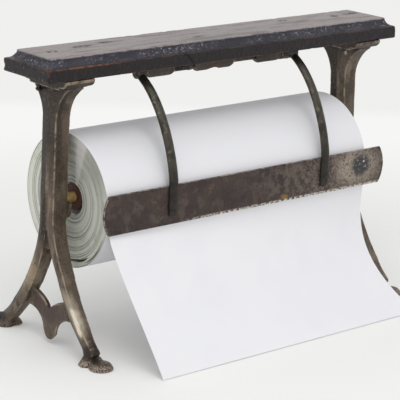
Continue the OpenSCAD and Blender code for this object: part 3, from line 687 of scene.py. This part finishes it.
def sagged_layers(obj):
    """Crescent gaps between layers of the left end, and marks for their painted shade and for the
    paler sector.
    """
    mesh = obj.data
    points = points_of(mesh)
    gap = np.zeros(len(points))
    y, z = points[:, 1] - ROLL_Y, points[:, 2] - ROLL_Z
    radius, angle = np.hypot(y, z), np.degrees(np.arctan2(z, y))
    for middle, half, place in DROPPED:
        turn = np.clip(1 - ((angle - middle) / half) ** 2, 0, 1)
        near = np.abs(radius - place) / (DROPPED_WIDTH * (0.3 + turn))
        gap = np.maximum(gap, turn * np.clip(1.6 - near, 0, 1))
    gap *= points[:, 0] < -150
    points[:, 0] += DROPPED_DEPTH * gap
    set_points(mesh, points)
    store(mesh, "gap", gap)
    sector = np.clip(1.5 - np.abs(angle - SECTOR) / SECTOR_HALF, 0, 1)
    store(mesh, "wedge", sector * (points[:, 0] < 0))


roll = wound_roll()
sagged_layers(roll)
smoothed(roll.data, 35)
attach(roll, "roll")
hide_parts("paper_roll")

# The coil's left end, and its leg's end behind and above the rod's middle
COIL_LEFT, COIL_R = -65.5, 3.5
LEG_BACK, LEG_UP = 12.9, 4.1


def wire_coil():
    """Torsion spring: a coil round the rod and a straight leg under the hinge plate."""
    numbers = {"Turns": 8.0, "Coil radius": COIL_R * MM, "Wire radius": 0.6 * MM,
               "Width": 19.7 * MM}
    tree, given, result = node_tree("wire_coil", numbers)
    spiral = add(tree, "GeometryNodeCurveSpiral", None,
                 {"Resolution": 40, "Rotations": given["Turns"],
                  "Start Radius": given["Coil radius"], "End Radius": given["Coil radius"],
                  "Height": given["Width"]})
    laid = add(tree, "GeometryNodeTransform", None,
               {"Geometry": spiral.outputs[0], "Rotation": (0, math.pi / 2, 0)})
    upright = add(tree, "GeometryNodeTransform", None,
                  {"Geometry": laid.outputs[0], "Rotation": (math.pi, 0, 0)})
    leg = add(tree, "GeometryNodeCurvePrimitiveLine", None,
              {"Start": (0, 0, COIL_R * MM), "End": (0, LEG_BACK * MM, LEG_UP * MM)})
    both = add(tree, "GeometryNodeJoinGeometry")
    for part in (leg, upright):
        tree.links.new(part.outputs[0], both.inputs[0])
    profile = add(tree, "GeometryNodeCurvePrimitiveCircle", None,
                  {"Resolution": 10, "Radius": given["Wire radius"]})
    wire = add(tree, "GeometryNodeCurveToMesh", None,
               {"Curve": both.outputs[0], "Profile Curve": profile.outputs[0], "Fill Caps": True})
    ended(tree, wire.outputs[0], (COIL_LEFT, PIVOT_Y, PIVOT_Z), spring_steel, result)
    return grown("wire_spring", tree, numbers)


spring = wire_coil()
smoothed(spring.data, 50)
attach(spring, "root")
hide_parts("return_spring")


# Hanging sheet, stepped down from a little above the roll's middle: first on the roll, which it
# leaves at an angle, then flat under the bar on its left side, then falling to the counter

HUG_R, HUG_ABOVE, LEAVE = 75.55, 5, math.radians(10.5)
HUG_STEPS, FLAT_STEPS, FALL_STEPS = 5, 4, 20
# How far each side's curve runs on as it starts, and the place that bends it before its end
LEFT_START, RIGHT_START = (3, 24), 56
LEFT_BEND, RIGHT_BEND = (-113.96, 0.3 * BLADE_LOW), (-38.12, 0.29 * BLADE_LOW)
SHEET_END = (-134.5, 0.55)
SHEET_HALF = 0.1


def hug_y(z):
    """Y of the sheet on the roll at this height."""
    return ROLL_Y - math.sqrt(HUG_R ** 2 - (z - ROLL_Z) ** 2)


def hug_z(i):
    """Height of a step on the roll, down to where the sheet leaves it."""
    drop = HUG_ABOVE + HUG_R * math.sin(LEAVE)
    return ROLL_Z + HUG_ABOVE - drop * min(i, HUG_STEPS) / HUG_STEPS


def left_line(i):
    """Y and Z of a step down the sheet's left side, which the bar holds back."""
    k, z, front = i - HUG_STEPS, hug_z(i), hug_y(ROLL_Z)
    if z > ROLL_Z:
        return np.array([hug_y(z), z])
    if k <= 0:
        return np.array([front, z])
    if k <= FLAT_STEPS:
        return np.array([front, z + (BLADE_LOW - z) * k / FLAT_STEPS])
    start = (front - LEFT_START[0], BLADE_LOW - LEFT_START[1])
    return bezier([(front, BLADE_LOW), start, LEFT_BEND, SHEET_END],
                  (k - FLAT_STEPS) / (FALL_STEPS - FLAT_STEPS))


def right_line(i):
    """Y and Z of a step down the sheet's right side, which falls in one sweep."""
    k, z = i - HUG_STEPS, hug_z(i)
    y = hug_y(z)
    if k <= 0:
        return np.array([y, z])
    start = (y + RIGHT_START * math.sin(LEAVE), z - RIGHT_START * math.cos(LEAVE))
    return bezier([(y, z), start, RIGHT_BEND, SHEET_END], k / FALL_STEPS)


def walled(grid, half):
    """Points and faces of a closed thin wall round a grid of places."""
    normal = np.cross(np.gradient(grid, axis=1), np.gradient(grid, axis=0))
    normal /= np.linalg.norm(normal, axis=2, keepdims=True)
    rows, cols = grid.shape[:2]
    sides = [(grid + normal * side).reshape(-1, 3) for side in (half, -half)]
    faces, back = [], rows * cols
    for r in range(rows - 1):
        for c in range(cols - 1):
            a = r * cols + c
            faces.append((a, a + 1, a + cols + 1, a + cols))
            faces.append((back + a, back + a + cols, back + a + cols + 1, back + a + 1))
    rim = (list(range(cols)) + [r * cols + cols - 1 for r in range(1, rows)]
           + [(rows - 1) * cols + c for c in range(cols - 2, -1, -1)]
           + [r * cols for r in range(rows - 2, 0, -1)])
    for a, b in zip(rim, rim[1:] + rim[:1]):
        faces.append((a, a + back, b + back, b))
    return np.concatenate(sides), faces


def hanging_sheet():
    """Sheet that clings to the roll's front, leaves it and sweeps forward to the counter, more on
    its left."""
    last, finer, across = HUG_STEPS + FALL_STEPS, 3, 40
    share = np.arange(across + 1)[:, None] / across
    rows = []
    for s in range(last * finer + 1):
        i = s / finer
        a, b = left_line(i), right_line(i)
        x = ROLL_LEFT + SHEET_DRIFT * (i / last) ** 2 + PAPER_W * share
        rows.append(np.hstack([x, a + (b - a) * share]))
    points, faces = walled(np.array(rows), SHEET_HALF)
    mesh = bpy.data.meshes.new("hanging_sheet")
    mesh.from_pydata([tuple(p) for p in points * MM], [], faces)
    turned_out(mesh)
    mesh.materials.append(sheet_paper)
    smoothed(mesh, 50)
    return link_piece("hanging_sheet", mesh)


sheet = hanging_sheet()
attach(sheet, "root")
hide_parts("paper_sheet")


# Floor and light, in metres

FLOOR_REACH, FLOOR_DROP = 40.0, 0.0002
# The floor's own shading fades to the plain backdrop between these distances from the object
SHADED_NEAR, SHADED_FAR = 0.4, 0.95
# The table ends and the wall begins between these distances ahead of the camera's heading
TABLE_END, WALL_START = 1.02, 1.1
TABLE_WHITE, WALL_WHITE, SHADED_WHITE = "#f6f6f5", "#f0f0ee", "#f4f4f2"
STUDIO_LIGHT = 0.75


def backdrop_rays(tree):
    """1 for the rays that see the plain backdrop: from the camera, off metal and gloss, and
    through glass."""
    rays = add(tree, "ShaderNodeLightPath").outputs
    seen = rays["Is Camera Ray"]
    for kind in ("Is Glossy Ray", "Is Transmission Ray"):
        seen = add(tree, "ShaderNodeMath", LARGER, {0: seen, 1: rays[kind]}).outputs["Value"]
    return seen


def pale_floor():
    """White table top that keeps the object's shadow. Far from it is the plain white backdrop: the
    table up to its far edge, square to the photograph's view, and the wall past that."""
    mat = bpy.data.materials.new("white_table")
    mat.use_nodes = True
    tree = mat.node_tree
    tree.nodes.clear()
    place = add(tree, "ShaderNodeTexCoord").outputs["Object"]
    heading = (0, 0, math.radians(-CAMERA_TURN[2]))
    turned = add(tree, "ShaderNodeMapping", None, {"Vector": place, "Rotation": heading})
    ahead = add(tree, "ShaderNodeSeparateXYZ", None, {0: turned.outputs["Vector"]}).outputs["Y"]
    wall = add(tree, "ShaderNodeMapRange", None,
               {"Value": ahead, "From Min": TABLE_END, "From Max": WALL_START})
    tone = add(tree, "ShaderNodeMix", {"data_type": "RGBA"},
               {"Factor": wall.outputs["Result"], 6: srgb(TABLE_WHITE), 7: srgb(WALL_WHITE)})
    shaded = add(tree, "ShaderNodeBsdfPrincipled", None,
                 {"Base Color": srgb(SHADED_WHITE), "Roughness": 0.9})
    plain = add(tree, "ShaderNodeEmission", None, {"Color": tone.outputs[2], "Strength": 1.0})
    away = add(tree, "ShaderNodeVectorMath", {"operation": "LENGTH"}, {0: place})
    far = add(tree, "ShaderNodeMapRange", {"interpolation_type": "SMOOTHSTEP"},
              {"Value": away.outputs["Value"], "From Min": SHADED_NEAR, "From Max": SHADED_FAR})
    share = add(tree, "ShaderNodeMath", MULTIPLY,
                {0: far.outputs["Result"], 1: backdrop_rays(tree)})
    both = add(tree, "ShaderNodeMixShader", None,
               {0: share.outputs["Value"], 1: shaded.outputs["BSDF"],
                2: plain.outputs["Emission"]})
    add(tree, "ShaderNodeOutputMaterial", None, {"Surface": both.outputs["Shader"]})
    mesh = bpy.data.meshes.new("floor")
    corners = [(-1, -1), (1, -1), (1, 1), (-1, 1)]
    mesh.from_pydata([(x * FLOOR_REACH, y * FLOOR_REACH, 0) for x, y in corners], [],
                     [(0, 1, 2, 3)])
    mesh.materials.append(mat)
    floor = bpy.data.objects.new("floor", mesh)
    floor.location.z = -FLOOR_DROP
    scene.collection.objects.link(floor)


def studio_world():
    """Even white light of the studio, with the pale wall where the backdrop is seen."""
    world = bpy.data.worlds.new("studio")
    world.use_nodes = True
    scene.world = world
    tree = world.node_tree
    tree.nodes.clear()
    light = add(tree, "ShaderNodeBackground", None,
                {"Color": (1, 1, 1, 1), "Strength": STUDIO_LIGHT})
    wall = add(tree, "ShaderNodeBackground", None, {"Color": srgb(WALL_WHITE), "Strength": 1.0})
    both = add(tree, "ShaderNodeMixShader", None,
               {0: backdrop_rays(tree), 1: light.outputs["Background"],
                2: wall.outputs["Background"]})
    add(tree, "ShaderNodeOutputWorld", None, {"Surface": both.outputs["Shader"]})


def round_lamp(name, place, aim, size, power):
    """Soft round lamp turned to a point."""
    data = bpy.data.lights.new(name, "AREA")
    data.shape = "DISK"
    data.size = size
    data.energy = power
    lamp = bpy.data.objects.new(name, data)
    lamp.location = place
    lamp.rotation_mode = "QUATERNION"
    lamp.rotation_quaternion = (Vector(aim) - Vector(place)).to_track_quat("-Z", "Y")
    scene.collection.objects.link(lamp)


pale_floor()
studio_world()
round_lamp("key", place=(-0.6, -0.9, 2.0), aim=(0, 0, 0.15), size=1.4, power=15)
